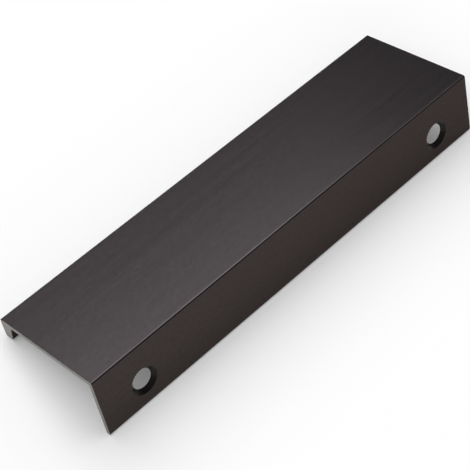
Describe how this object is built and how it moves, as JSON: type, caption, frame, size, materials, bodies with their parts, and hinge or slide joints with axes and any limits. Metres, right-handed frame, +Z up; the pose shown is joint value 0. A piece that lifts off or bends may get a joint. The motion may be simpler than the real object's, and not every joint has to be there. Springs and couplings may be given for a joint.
{
  "type": "handleless finger pull profile",
  "caption": "Angle-shaped aluminium edge pull: a flat plate with a thick finger lip along its front and a countersunk screw flange along its back.",
  "frame": {"origin": "centre of the bounding box, at floor level, with the profile resting on the feet of its flange and its lip", "axes": "+X along the length, +Y from the flange towards the lip, +Z up; the plate leans down towards the lip, as it lies on a level floor"},
  "size_m": [0.16, 0.0468, 0.0208],
  "materials": {
    "black_anodised": "fine brushed along its length and anodised black, with bare sawn ends"
  },
  "bodies": {
    "root": {"pull_profile": "black_anodised"}
  },
  "joints": []
}
